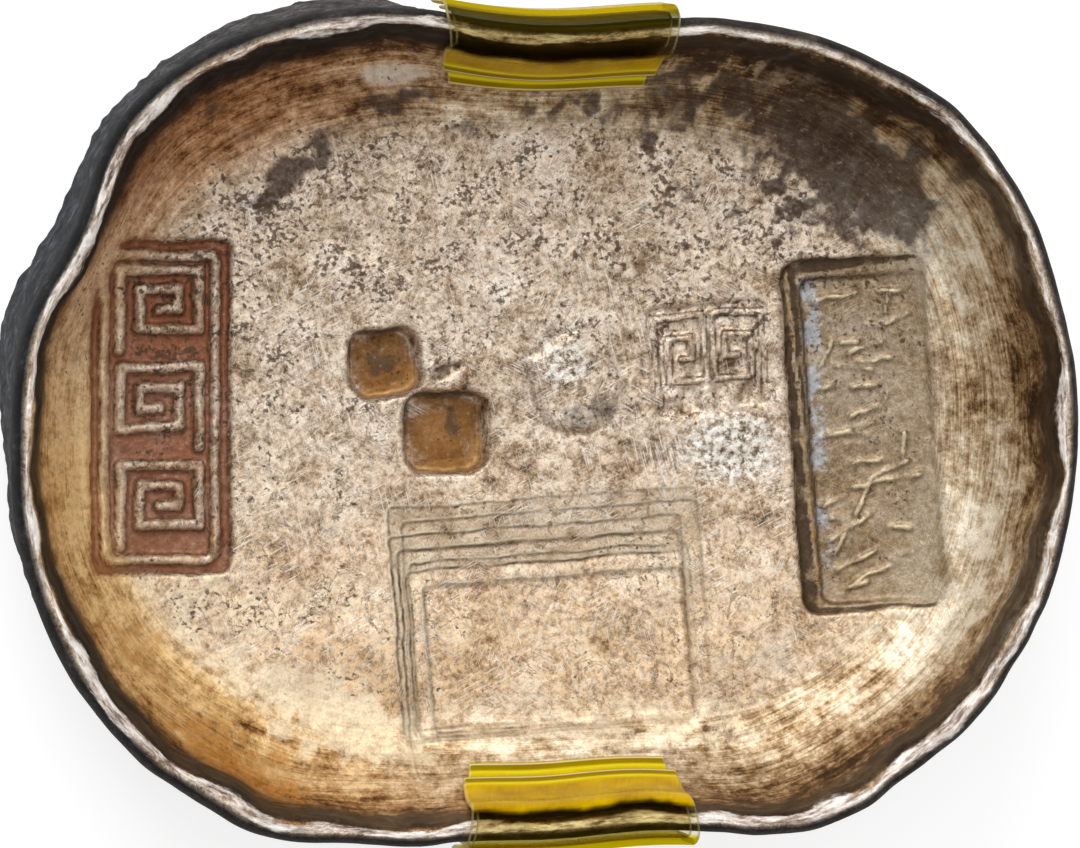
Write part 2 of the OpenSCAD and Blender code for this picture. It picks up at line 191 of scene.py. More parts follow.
# The marks in the floor
# Steel dies were struck into the cold silver: a framed key fret, a deep worn panel, a panel struck
# several times over, two square punches, a small fret and a round boss. Hand striking leaves them uneven.
wobble_x = plan_x + 0.05 * rumple(plan, 4, 11) + 0.025 * rumple(plan, 1.3, 12)
wobble_y = plan_y + 0.05 * rumple(plan, 4, 13) + 0.025 * rumple(plan, 1.3, 14)
spiral_corners = ((0, 0), (1, 0), (1, 1), (-1, 1), (-1, -1), (2, -1), (2, 2), (-2, 2), (-2, -2))


def turned(centre_x, centre_y, turn, from_x=wobble_x, from_y=wobble_y):
    """The plan, wobbling unless told otherwise, seen from a mark's own middle and axes: along and across."""
    cos_turn, sin_turn = math.cos(math.radians(turn)), math.sin(math.radians(turn))
    off_x, off_y = from_x - centre_x, from_y - centre_y
    return off_x * cos_turn + off_y * sin_turn, off_y * cos_turn - off_x * sin_turn


def plate_gap(u, v, width, length, corner):
    """Distance outside a rectangle with rounded corners, negative inside it."""
    over_u, over_v = np.abs(u) - width / 2 + corner, np.abs(v) - length / 2 + corner
    outside = np.hypot(np.maximum(over_u, 0), np.maximum(over_v, 0))
    return outside + np.minimum(np.maximum(over_u, over_v), 0) - corner


def bar_gap(u, v, half_u, half_v):
    """Distance from a straight bar without width, given by its half lengths along the two axes."""
    return np.hypot(np.maximum(np.abs(u) - half_u, 0), np.maximum(np.abs(v) - half_v, 0))


def spiral_gap(u, v, pitch_u, pitch_v):
    """Distance from the centre line of a squared spiral: the least of the distances to its straight bars."""
    gap = np.full(u.shape, 99.0)
    for (u0, v0), (u1, v1) in zip(spiral_corners[:-1], spiral_corners[1:]):
        from_u, from_v = u - (u0 + u1) / 2 * pitch_u, v - (v0 + v1) / 2 * pitch_v
        gap = np.minimum(gap, bar_gap(from_u, from_v, abs(u1 - u0) / 2 * pitch_u, abs(v1 - v0) / 2 * pitch_v))
    return gap


def within(gap, soft):
    """1 inside a gap of zero and 0 outside it, with an edge of the given half width."""
    return smooth(soft, -soft, gap)


# Left panel: a sunk ground with a raised frame and three squared spirals
left_width, left_length, left_depth = 8.2, 19.3, 0.62
frame_margin, frame_width, fret_pitch, fret_line, panel_corner = 0.55, 0.6, 1.16, 0.62, 0.55
left_u, left_v = turned(-21.25, 1.0, 0)
left_in = within(plate_gap(left_u, left_v, left_width, left_length, panel_corner), 0.16)
frame_gap = np.abs(plate_gap(left_u, left_v, left_width - 2 * frame_margin - frame_width,
                             left_length - 2 * frame_margin - frame_width, panel_corner)) - frame_width / 2
left_raised = within(frame_gap, 0.17)
cell = (left_length - 2 * frame_margin - 2 * frame_width) / 3
for k in range(3):
    fret_gap = spiral_gap(left_u * (-1) ** k, left_v - (k - 1) * cell, fret_pitch, fret_pitch)
    left_raised = np.maximum(left_raised, within(fret_gap - fret_line / 2, 0.17))
left_sunk = left_in * left_depth * (1 - left_raised * (0.86 + 0.1 * rumple(plan, 3, 15)))

# Right panel: two strikes whose steps show along the inner edge, with a thin ridge left standing between
# them, its ground leaning up to the end wall
right_width, right_length, right_corner = 8.4, 20.6, 1.0
right_u, right_v = turned(20.0, -0.8, 4)
right_in = within(plate_gap(right_u, right_v, right_width, right_length, right_corner), 0.18)
second_in = within(plate_gap(right_u - 0.6, right_v + 0.3, right_width - 1.2, right_length - 1.6, 0.7), 0.2)
right_lean = smooth(right_width * 0.7, -right_width / 2, right_u)
right_sunk = right_in * (0.12 + 0.45 * right_lean) + second_in * (0.1 + 0.55 * right_lean)
ridge_gap = np.abs(right_u + 3.8 - 0.038 * (9 - right_v))
ridge = smooth(0.17, 0.04, ridge_gap) * smooth(10.2, 9.2, np.abs(right_v)) * right_in
right_sunk -= 0.12 * ridge
# The step tone is painted shadow: a dark band along the strikes' steps at the left, the top and the bottom
top_step = 0.9 - 0.07 * (right_u + right_width / 2)
step = np.maximum(smooth(-2.95, -3.4, right_u), smooth(-0.1, 0.15, right_v - right_length / 2 + top_step))
step = np.maximum(step, smooth(-0.1, 0.1, -right_v - right_length / 2 + 0.3)) * right_in * (1 - ridge)
worn_bars = np.zeros(point_count)
chance = np.random.default_rng(51)
for k in range(32):
    bar_u, bar_v = chance.uniform(-1.9, 2.4), 8.6 - 17.2 * (k + 0.5) / 32 + chance.uniform(-0.4, 0.4)
    bar_half, tilt = chance.uniform(0.3, 1.5), chance.uniform(-5, 30) + 60 * (k % 5 == 2)
    along_bar, across_bar = turned(bar_u, bar_v, tilt, right_u, right_v)
    across_bar = across_bar + 0.06 * np.sin(along_bar * chance.uniform(2, 4))
    worn_bars = np.maximum(worn_bars, within(bar_gap(along_bar, across_bar, bar_half, 0) - 0.12, 0.12))
worn_bars = np.clip(worn_bars * second_in * (0.8 + 0.4 * rumple(plan, 2.5, 16)), 0, 1)
right_sunk -= 0.3 * worn_bars

# Lower panel: nested strikes of one plain die, each shifted and sunk a little below the last
lower_length, lower_width, strike_depth = 16.3, 9.3, 0.095
lower_u, lower_v = turned(1.6, -12.7, 4)
lower_sunk = np.zeros(point_count)
strike_gaps, strike_faints = [], []
for grow_u, grow_v, shift_u, shift_v, faint in (
        (1.9, 3.6, 0.1, 1.9, 0.6), (1.3, 3.2, 0.5, 1.3, 0.7), (0.9, 2.6, -0.4, 0.8, 0.8),
        (0.6, 3.9, -0.2, -0.8, 0.6), (0.3, 1.9, -0.3, 0.3, 0.9), (0.2, 0.9, 0.3, 0, 0.8),
        (0, 0, 0, 0, 1), (-1.0, -0.7, 0.5, -0.6, 0.8), (-1.6, 1.0, 0.3, -1.6, 0.4)):
    strike_gap = plate_gap(
        lower_u - shift_u, lower_v - shift_v, lower_length + grow_u, lower_width + grow_v, 0.35)
    strike_gaps.append(strike_gap)
    strike_faints.append(faint)
    lower_sunk += strike_depth * faint * within(strike_gap, 0.09)

# Two square punches that almost meet at a corner, their grounds raised like pillows
punch_sunk, punch_in, punch_pillow, punch_painted_light, punch_painted_shade = np.zeros((5, point_count))
for punch_x, punch_y, punch_turn, punch_size in ((-8.05, 3.5, 6, 3.95), (-4.45, -0.6, 0, 4.7)):
    punch_u, punch_v = turned(punch_x, punch_y, punch_turn)
    inside = within(plate_gap(punch_u, punch_v, punch_size, punch_size, 1.1), 0.18)
    pillow = np.clip(1 - (2 * punch_u / punch_size) ** 2, 0, 1)
    pillow = pillow * np.clip(1 - (2 * punch_v / punch_size) ** 2, 0, 1)
    punch_sunk = np.maximum(punch_sunk, inside * (1.9 - 0.6 * pillow))
    punch_in = np.maximum(punch_in, inside)
    punch_pillow = np.maximum(punch_pillow, inside * pillow)
    # Painted light and shade on each punch's walls: lit towards the lower right, shaded all round and most
    # towards the upper left
    edge_share = np.maximum(np.abs(punch_u), np.abs(punch_v)) * 2 / punch_size
    punch_face = inside * smooth(0.72, 0.97, edge_share)
    lower_right = (0.4 * punch_u - punch_v) / punch_size
    punch_painted_light = np.maximum(punch_painted_light, inside * smooth(0.5, 0.8, edge_share) * smooth(0.1, 0.4, lower_right))
    punch_painted_shade = np.maximum(punch_painted_shade, punch_face * (0.5 + 0.6 * smooth(0.0, 0.4, -lower_right)))

# Small stamp: two tall squared spirals side by side
small_u, small_v = turned(11.0, 3.7, 5)
small_in = within(plate_gap(small_u, small_v, 6.8, 6.3, panel_corner), 0.16)
small_raised = np.zeros(point_count)
for side in (-1, 1):
    small_gap = spiral_gap(-side * (small_u - side * 1.7), small_v, 0.72, 1.25)
    small_raised = np.maximum(small_raised, within(small_gap - 0.2, 0.14))
small_worn = 0.65 + 0.35 * rumple(plan, 2.4, 17)
small_sunk = small_in * 0.48 * (1 - 0.9 * small_raised) * np.clip(small_worn, 0.25, 1)

# The round boss with a thin moat, a small square bump near the right panel and a pit by the punches
boss_u, boss_v = turned(3.1, 2.3, 0)
boss_gap = np.hypot(boss_u, boss_v * 0.95) - 2.6 - 0.15 * rumple(plan, 3, 18)
boss_moat = smooth(0.35, 0.0, np.abs(boss_gap - 0.2)) * smooth(2.5, -1, boss_u)
boss_up = 0.3 * within(boss_gap, 0.4) - 0.15 * boss_moat
bump_u, bump_v = turned(25.6, -9.3, 0)
bump_up = 0.16 * within(plate_gap(bump_u, bump_v, 1.1, 1.3, 0.2), 0.15)
pit_u, pit_v = turned(-4.5, 3.05, 15)
pit_in = within(np.hypot(pit_u / 0.75, pit_v / 0.32) - 1 - 0.3 * rumple(plan, 0.8, 19), 0.5)

flat_share = smooth(3.2, 5.0, inset) * inner_side
sunk = left_sunk + right_sunk + lower_sunk + punch_sunk + small_sunk + 0.4 * pit_in - boss_up - bump_up
sunk *= flat_share

# The bare silver between the marks: slow dishing, tool ripples along the wall and a crinkled patch
solid = np.stack([plan_x, plan_y, height], -1)
rim_way = np.stack([np.cos(angle) * 9, np.sin(angle) * 9, inset], -1)
crinkled = np.exp(-(((plan_x - 12.3) / 3.2) ** 2 + ((plan_y + 1.6) / 2.4) ** 2))
on_boss = np.exp(-(((plan_x - 2.4) / 2.2) ** 2 + ((plan_y - 3.4) / 1.7) ** 2))
crinkled = np.maximum(crinkled, 0.75 * on_boss) * inner_side
ripple = 0.05 * rumple(plan, 7, 21) + 0.018 * rumple(plan, 2.0, 22) + 0.008 * rumple(plan, 0.9, 23)
ripple += crinkled * (0.04 * rumple(plan, 1.1, 24) + 0.025 * rumple(plan, 0.6, 25))
on_wall = smooth(8.5, 5.0, inset) * smooth(1.6, 2.6, inset) * inner_side
ripple += on_wall * (0.06 * rumple(rim_way * (1, 1, 3), 5, 26) + 0.03 * rumple(rim_way * (1, 1, 6), 4, 27))
on_lip = smooth(2.4, 1.2, inset) * smooth(lip_z - 1.5, lip_z, height)
clear_here = np.concatenate([np.ones(floor_points), np.broadcast_to(clear, ring_x.shape).ravel()])
ripple += on_lip * clear_here * (0.035 * rumple(solid, 2.2, 28) + 0.02 * rumple(solid, 0.8, 29))
settled = np.where(inner_side | (on_lip > 0), 1, 0)
height = np.where(base_side, 0, height - sunk + ripple * settled)
# The outer wall keeps the grain of the mould, pushed in along the round
grain = 0.08 * rumple(solid, 2.6, 31) + 0.05 * rumple(solid, 1.3, 32) - 0.14
grain_share = smooth(lip_z + 0.6, lip_z - 1.5, height) * smooth(0.3, 2.0, height)
grain *= np.where(inner_side | base_side, 0, grain_share)
casting_x = plan_x + grain * np.cos(angle)
casting_y = plan_y + grain * np.sin(angle)


def put_in(name, points, faces, body, node_name):
    """Makes a smooth-shaded piece from points in millimetres and faces, standing for a node of a body."""
    mesh = bpy.data.meshes.new(name)
    mesh.from_pydata((points * mm).tolist(), [], faces)
    mesh.polygons.foreach_set("use_smooth", np.ones(len(mesh.polygons), bool))
    mesh.update()
    piece = bpy.data.objects.new(name, mesh)
    bpy.context.collection.objects.link(piece)
    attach(piece, body)
    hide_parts(node_name)
    return piece


floor_quads = np.stack([number[:-1, :-1], number[1:, :-1], number[1:, 1:], number[:-1, 1:]], -1)
floor_quads = floor_quads.reshape(-1, 4)
rows = np.concatenate([edge[None], floor_points + np.arange(ring_x.size).reshape(ring_x.shape)])
ahead = np.roll(rows, -1, axis=1)
ring_quads = np.stack([rows[:-1], rows[1:], ahead[1:], ahead[:-1]], -1).reshape(-1, 4)
base_fan = np.stack([rows[-1], np.full(len(edge), point_count), ahead[-1]], -1)
casting_points = np.append(np.stack([casting_x, casting_y, height], -1), [[0, 0, 0]], axis=0)
casting_faces = floor_quads.tolist() + ring_quads.tolist() + base_fan.tolist()
casting = put_in("silver_casting", casting_points, casting_faces, "ingot", "ingot")

# The casting's skin, where each tone lies
# Silver is bare and pale where it was handled; elsewhere sulphide has left brown and plum films, and the
# outer wall is dark with old dirt. Painted light and shade lie here too: shade under the lip, on the inner
# wall, partly in the edges of the marks and on the steps, light and shade on the punches' walls, a highlight
# on the crest, a sheen in the right panel and a reflection of the sky on the outer wall's left.
torn_x = 0.9 * rumple(plan, 3.5, 41) + 0.4 * rumple(plan, 1.2, 42)
torn_y = 0.9 * rumple(plan, 3.5, 43) + 0.4 * rumple(plan, 1.2, 44)


def blots(places, torn=1.0):
    """The strongest of some soft ellipses: strength times an S-curve of the distance in its own axes."""
    field = np.zeros(point_count)
    for centre_x, centre_y, half_u, half_v, turn, strength in places:
        u, v = turned(centre_x, centre_y, turn, plan_x + torn * torn_x, plan_y + torn * torn_y)
        field = np.maximum(field, strength * smooth(1.5, 0.2, np.hypot(u / half_u, v / half_v)))
    return field * inner_side


plum = blots((
    (18.7, 15.4, 7.6, 3.3, -40, 1.2), (11.8, 19.0, 6.5, 1.7, -12, 0.9), (14.6, 14.9, 2.0, 1.1, -20, 0.75),
    (17.8, 11.8, 2.5, 1.3, -30, 0.8), (15.4, 10.7, 1.5, 0.8, 50, 0.6), (11.8, 12.7, 1.8, 0.9, 10, 0.6),
    (9.5, 13.8, 1.6, 1.2, 40, 0.6), (2.0, 18.4, 2.0, 1.0, 2, 0.75), (7.3, 18.0, 2.4, 1.3, -8, 0.75),
    (-3.4, 16.5, 2.4, 0.9, 10, 0.55), (-10.5, 12.6, 1.6, 0.8, 60, 0.55),
))
plum = np.maximum(plum, blots((
    (-13.5, 14.5, 4.2, 1.1, 42, 0.85), (-7.8, 18.8, 3.0, 0.75, 2, 0.85), (-18.4, 18.6, 1.3, 0.8, 30, 0.7),
    (-16.8, 16.6, 4.5, 1.0, 40, 0.4)), 0.4))
wall = smooth(8.7, 5.1, inset) * inner_side
# Painted shade mixed with tarnish: the inner wall is made darker towards the top and upper right, towards the
# lip and in a band at the lower left, and lighter on the left and right
painted_shade_and_tarnish = swells(angle, (95, 48, 310, 140, 238, 180, 5, 26, 338), (34, 28, 26, 30, 22, 28, 12, 12, 12),
               (0.26, 0.38, 0.3, 0.18, 0.02, -0.26, 0.31, -0.34, -0.26))
shade_band = swells(angle, (238,), (24,), (0.2,)) * smooth(3, 3.8, inset) * smooth(6, 5, inset)
painted_shade_and_tarnish += 0.45 * smooth(3.3, 1.7, inset) + shade_band
russet = swells(angle, (135,), (26,), (1,)) * wall
honey = np.clip(swells(angle, (188, 230), (26, 30), (0.9, 0.9)), 0, 1) * wall
gold = blots(((-17.5, -19.6, 5.5, 2.0, -31, 1.0), (-22.5, -13.0, 3.2, 1.2, -55, 0.6),
              (-8.0, -14.5, 5.5, 3.0, 0, 0.35)))
cream = blots(((-11.5, -16.6, 8.0, 2.4, -25, 1.0), (8.0, -17.8, 9.0, 1.7, 8, 0.75),
               (13.0, 20.6, 5.5, 0.8, -12, 0.6), (-19.5, -9.5, 3.4, 1.8, -60, 0.7)))
pale = np.maximum(blots(((14.5, -13.5, 4.0, 2.5, 20, 0.5), (17.5, -13.0, 3.0, 1.5, 40, 0.4))),
                  blots(((-7.8, 20.3, 2.6, 0.75, 4, 1.0),), 0.15))
smudge = blots(((-8.25, 3.6, 1.1, 1.2, 0, 0.9), (-3.9, -0.3, 0.8, 1.0, 0, 0.9)), 0.2)
smudge = np.maximum(smudge, blots(((3.7, 0.4, 2.1, 1.5, 10, 0.65),), 0.6))
strip = within(strike_gaps[0], 0.1) * (1 - within(strike_gaps[6], 0.1)) * smooth(-14, -8, plan_y)
olive = np.maximum(right_in, 0.42 * strip) * flat_share
# Painted reflection of the sky: the outer wall and the shade under the lip turn blue-grey towards the left
painted_sky_reflection = swells(angle, (160,), (62,), (1,))
# Painted shade under the lip: a dark band on the inner side just below the crest, widest at the upper left
fold_width = 0.5 + swells(angle, (135, 60, 190, 226), (50, 40, 26, 26), (0.8, 0.35, 0.5, 0.4))
fold_width = fold_width + 0.15 * rumple(rim_way, 4, 45)
under_lip_shade = smooth(0.9, 1.3, inset) * smooth(1.5 + fold_width, 1.2 + fold_width * 0.4, inset) * inner_side
# Dark with dirt on the outer wall; on the inner side, the painted shade under the lip is darkened further at
# the upper left and left
outer_dirt_and_lip_shade = under_lip_shade * np.clip(swells(angle, (125, 172, 205, 230), (36, 22, 14, 18), (0.9, 0.7, 0.7, 0.6)), 0, 0.95)
outer_dirt_and_lip_shade = np.where(inner_side, outer_dirt_and_lip_shade, smooth(1.6, 1.15, lip_round))
lip_dark = np.where(inner_side, 1, smooth(lip_z - 3.5, lip_z - 0.3, height))
# A painted highlight along the crest, together with the polish of handling: a bright ribbon on the lip's top,
# made brighter under the clips so that it shows through them
crest_width = np.clip(0.4 + 0.19 * rumple(rim_way, 3, 46), 0.18, 0.8)
off_crest = lip_round - 1.75 - 0.15 * rumple(rim_way, 2.5, 48)
crest = np.exp(-((off_crest / crest_width) ** 2)) * smooth(2.6, 1.0, inset)
crest *= np.clip(0.95 + 0.2 * rumple(rim_way, 3.5, 49), 0.5, 1.1) - swells(angle, (52,), (24,), (0.4,))
crest *= 1 + 0.35 * (1 - clear_here)
# Darker at the edges of the marks: partly dirt held in the edges, partly painted shade, such as the shadows
# round the worn bars and on the left side of the boss's moat
edge_dirt_and_shade = np.zeros(point_count)
for edge_share in (
        0.7 * np.maximum(4 * left_in * (1 - left_in), 4 * left_raised * (1 - left_raised) * left_in),
        np.maximum(4 * right_in * (1 - right_in), 4 * second_in * (1 - second_in)) * right_lean,
        0.55 * smooth(0.3, 0.05, np.abs(boss_gap - 0.2)) * smooth(2.2, -1.5, boss_u),
        np.maximum(3 * small_in * (1 - small_in), 4 * small_raised * (1 - small_raised)) * small_in,
        1.3 * worn_bars * (1 - worn_bars), 2.6 * punch_in * (1 - punch_in)):
    edge_dirt_and_shade = np.maximum(edge_dirt_and_shade, edge_share)
edge_dirt_and_shade = np.maximum(edge_dirt_and_shade * flat_share, pit_in)
ground = left_in * (1 - left_raised) * flat_share
leather = punch_in * (0.55 + 0.45 * punch_pillow)
rust = left_in * np.maximum((1 - left_raised) * smooth(-4, 7, plan_y), 0.5) * flat_share
rust = np.maximum(rust, blots(((-23.5, 14.5, 5.0, 2.2, 50, 0.55), (-25.5, 5.0, 1.8, 5.0, 0, 0.5))))
# A painted reflection: a blue-grey sheen inside the right panel's left edge
painted_sheen = smooth(0.95, 0.2, np.abs(right_u + 2.55)) * smooth(10, 8.5, np.abs(right_v)) * right_in * (1 - step)
painted_sheen *= np.clip(0.4 + 0.5 * rumple(plan, 4, 47) + 0.4 * smooth(2, 7, right_v), 0, 1)
ridge *= np.clip(0.55 + 0.55 * rumple(plan, 2.6, 52), 0.1, 1)
step *= np.clip(0.85 + 0.25 * rumple(plan, 2.2, 53), 0.4, 1)
step, ridge = step * flat_share, ridge * flat_share
warm = smooth(2, -14, plan_y) * inner_side
speckle = np.clip(0.35 + 0.5 * smooth(-4, 12, plan_y) + 0.25 * smooth(-8, -20, plan_x), 0, 1) * inner_side
speckle += 0.1 * olive - 0.6 * wall
bars = worn_bars * flat_share
# How strongly the strikes' painted shadow and highlight lines show in each place
struck = 0.3 + 0.55 * smooth(-17, -8, plan_y) + 0.35 * smooth(2, -6, plan_x) - 0.3 * smooth(5, 10, plan_x)
struck = np.clip(struck, 0.1, 1)
struck *= np.clip(0.85 + 0.4 * rumple(plan, 3, 50), 0.1, 1)


def add_tone(piece, name, values):
    """Stores one number a point on a piece, for its material to read."""
    tone = piece.data.attributes.new(name, "FLOAT", "POINT")
    past_end = len(piece.data.vertices) - len(values)
    tone.data.foreach_set("value", np.append(values, np.full(past_end, values[-1])))


silver_tones = dict(
    plum=plum, wall=wall, painted_shade_and_tarnish=painted_shade_and_tarnish, gold=gold, cream=cream, under_lip_shade=under_lip_shade, outer_dirt_and_lip_shade=outer_dirt_and_lip_shade, crest=crest,
    edge_dirt_and_shade=edge_dirt_and_shade, ground=ground, leather=leather, rust=rust, painted_sheen=painted_sheen, warm=warm, crinkle=crinkled,
    speckle=speckle, russet=russet, pale=pale, olive=olive, painted_sky_reflection=painted_sky_reflection, step=step, ridge=ridge,
    smudge=smudge, bars=bars, honey=honey, punch_painted_light=punch_painted_light, punch_painted_shade=punch_painted_shade,
    struck=struck, lip_dark=lip_dark)
for name, values in silver_tones.items():
    add_tone(casting, name, values)
# The way round the rim and the gaps from the nine strikes, three to a vector; the base's middle comes last
fields = [("rim_way", rim_way, 0)]
fields += [(f"strikes_{k}", np.stack(strike_gaps[3 * k : 3 * k + 3], -1), 9) for k in range(3)]
for name, vectors, at_middle in fields:
    field = casting.data.attributes.new(name, "FLOAT_VECTOR", "POINT")
    field.data.foreach_set("vector", np.append(vectors, [[at_middle] * 3], axis=0).ravel())


def linear(code):
    """Linear colour of an sRGB hex code, each channel taken through the sRGB curve, with alpha 1."""
    parts = [int(code[k : k + 2], 16) / 255 for k in (1, 3, 5)]
    return [p / 12.92 if p <= 0.04045 else ((p + 0.055) / 1.055) ** 2.4 for p in parts] + [1.0]


def add_node(tree, kind, links, pick=0, stops=(), **settings):
    """Adds a shader node with its settings and returns the output that is picked. Links gives each input's
    source socket or plain value, and stops a ramp's colours."""
    made = tree.nodes.new("ShaderNode" + kind)
    for name, value in settings.items():
        setattr(made, name, value)
    for key, value in links.items():
        if isinstance(value, bpy.types.NodeSocket):
            tree.links.new(value, made.inputs[key])
        else:
            made.inputs[key].default_value = value
    for k, (position, code) in enumerate(stops):
        stop = made.color_ramp.elements[k] if k < 2 else made.color_ramp.elements.new(position)
        stop.position = position
        stop.color = linear(code)
    return made.outputs[pick] if len(made.outputs) else made


def new_material(name):
    """An empty node material, and the function that adds nodes to it."""
    material = bpy.data.materials.new(name)
    material.use_nodes = True
    material.node_tree.nodes.clear()
    return material, functools.partial(add_node, material.node_tree)


def mix(add, share, under, over, way="MIX"):
    """A colour laid over another by a share, blended in the given way."""
    return add("Mix", {0: share, 6: under, 7: over}, 2, data_type="RGBA", blend_type=way)


def ranged(add, value, low=0.0, high=1.0, start=0.0, end=1.0):
    """A value taken evenly from the range low to high onto start to end, and held at its ends."""
    return add("MapRange", {
        "Value": value, "From Min": low, "From Max": high, "To Min": start, "To Max": end})


# The setting of a math node that gives a times b plus c
fused = {"operation": "MULTIPLY_ADD"}


def ragged_cover(add, amount, breaker, ragged, low, high, cover):
    """How far a film covers: an S-curve from low to high of its amount, its edge broken up by a noise."""
    shift = add("Math", {0: breaker, 1: ragged, 2: -0.5 * ragged}, **fused)
    level = add("Math", {0: amount, 1: shift}, operation="ADD")
    return add("MapRange", {"Value": level, "From Min": low, "From Max": high, "To Max": cover},
               interpolation_type="SMOOTHSTEP")


# Tarnished cast silver, hand burnished: pale warm metal with fine crossing scratches, dark specks in its
# pores, films that break up raggedly, and streaks that run along the wall where the tool went round.
silver, add = new_material("tarnished_cast_silver")
tone = {name: add("Attribute", {}, "Fac", attribute_name=name) for name in silver_tones}
place = add("TexCoord", {}, "Object")
around = add("Attribute", {}, "Vector", attribute_name="rim_way")
# Each noise has its size in millimetres, its detail, its roughness and how far it is torn
pore, grit, crumb, mottle, skin_fold, flake, cloud = [
    add("TexNoise", {
        "Vector": place, "Scale": 1 / (size * mm), "Detail": detail, "Roughness": uneven, "Distortion": torn})
    for size, detail, uneven, torn in (
        (0.3, 3.0, 0.5, 0.0), (0.4, 6.0, 0.8, 0.0), (0.5, 5.0, 0.7, 0.0), (1.3, 9.0, 0.78, 0.0),
        (1.7, 5.0, 0.6, 0.6), (2.4, 8.0, 0.7, 0.4), (5.0, 6.0, 0.65, 0.0))]
# Along the rim run streaks 8 mm long and 0.35 mm wide, fibres 3 mm by 0.1 mm, and the crest's ribbon
rim_noises = []
for scale_along, scale_across, detail, uneven in (
        (0.36, 2.9, 5.0, 0.62), (0.9, 10.0, 4.0, 0.65), (1.5, 2.6, 7.0, 0.76)):
    way = add("Mapping", {"Vector": around, "Scale": (scale_along, scale_along, scale_across)})
    rim_noises.append(add("TexNoise", {
        "Vector": way, "Scale": 1.0, "Detail": detail, "Roughness": uneven}))
streak, fibre, ribbon = rim_noises
# Scratches some millimetres long; real ones are some hundredths wide and are drawn wider, to show
bright_scratch, dark_scratch = 0.0, 0.0
for turn, wide, long in ((14, 0.08, 1.4), (62, 0.07, 1.1), (118, 0.08, 1.5), (155, 0.07, 0.9)):
    scratch_way = add("Mapping", {
        "Vector": place, "Rotation": (0.0, 0.0, math.radians(turn)),
        "Scale": (wide * mm, long * mm, long * mm)},
        vector_type="TEXTURE")
    lines = add("TexNoise", {"Vector": scratch_way, "Scale": 1.0, "Detail": 2.0})
    # Each direction keeps to its own patches, some millimetres across
    patch_way = add("Mapping", {"Vector": place, "Location": (0.01 * turn, 0.0, 0.0)})
    patch = add("TexNoise", {"Vector": patch_way, "Scale": 1 / (3.5 * mm), "Detail": 2.0})
    level = add("Math", {0: patch, 1: 0.5, 2: lines}, **fused)
    bright = ranged(add, level, 0.87, 0.97)
    dark = ranged(add, level, 0.6, 0.48)
    bright_scratch = add("Math", {0: bright_scratch, 1: bright}, operation="MAXIMUM")
    dark_scratch = add("Math", {0: dark_scratch, 1: dark}, operation="MAXIMUM")

# How bright the floor and the wall are: a start and the share that each noise or tone adds
levels = []
for level, layers in (
        (-0.29, ((cloud, 0.28), (flake, 0.36), (mottle, 0.46), (grit, 0.5), (tone["warm"], 0.035))),
        (-0.84, ((streak, 0.5), (fibre, 0.6), (mottle, 1.15), (flake, 0.8), (grit, 0.3),
                 (tone["painted_shade_and_tarnish"], -0.5)))):
    for layer, share in layers:
        level = add("Math", {0: layer, 1: share, 2: level}, **fused)
    levels.append(level)
floor_level, wall_level = levels
# The bare floor, from its pores to its rubbed high spots
colour = add("ValToRGB", {"Fac": floor_level}, stops=(
    (0.37, "#614b34"), (0.67, "#fff6e6"), (0.44, "#a48a6f"), (0.5, "#cfb9a1"), (0.56, "#ead6c0")))
colour = mix(add, tone["warm"], colour, linear("#fff2dc"), "MULTIPLY")
for scratch, share, code in ((dark_scratch, 0.45, "#7d6450"), (bright_scratch, 0.75, "#f6ece0")):
    scratch_fac = add("Math", {0: scratch, 1: share}, operation="MULTIPLY")
    colour = mix(add, scratch_fac, colour, linear(code))
# Fine folds in the skin of the pour: the level lines of a noise, here and there, drawn wider than they are
off_level = add("Math", {0: skin_fold, 1: 0.5}, operation="SUBTRACT")
off_level = add("Math", {0: off_level}, operation="ABSOLUTE")
fold_line = ranged(add, off_level, 0.022, 0.004)
fold_patch = ranged(add, flake, 0.42, 0.56, end=0.7)
fold_fac = add("Math", {0: fold_line, 1: fold_patch}, operation="MULTIPLY")
colour = mix(add, fold_fac, colour, linear("#6f5844"))
# The wall, streaked by the tool: the darker its film and its painted shade, the fewer of its pale lines are
# left
wall_colour = add("ValToRGB", {"Fac": wall_level}, stops=(
    (0.36, "#3a2614"), (0.96, "#fbefd9"), (0.5, "#6b4d30"), (0.63, "#a68862"), (0.79, "#d8c2a2")))
for name, code in (("russet", "#f3cdb4"), ("honey", "#ffe3b4")):
    wall_colour = mix(add, tone[name], wall_colour, linear(code), "MULTIPLY")
colour = mix(add, tone["wall"], colour, wall_colour)
stain = add("Math", {0: mottle, 1: 0.45}, operation="MULTIPLY")
stain = add("Math", {0: flake, 1: 0.55, 2: stain}, **fused)
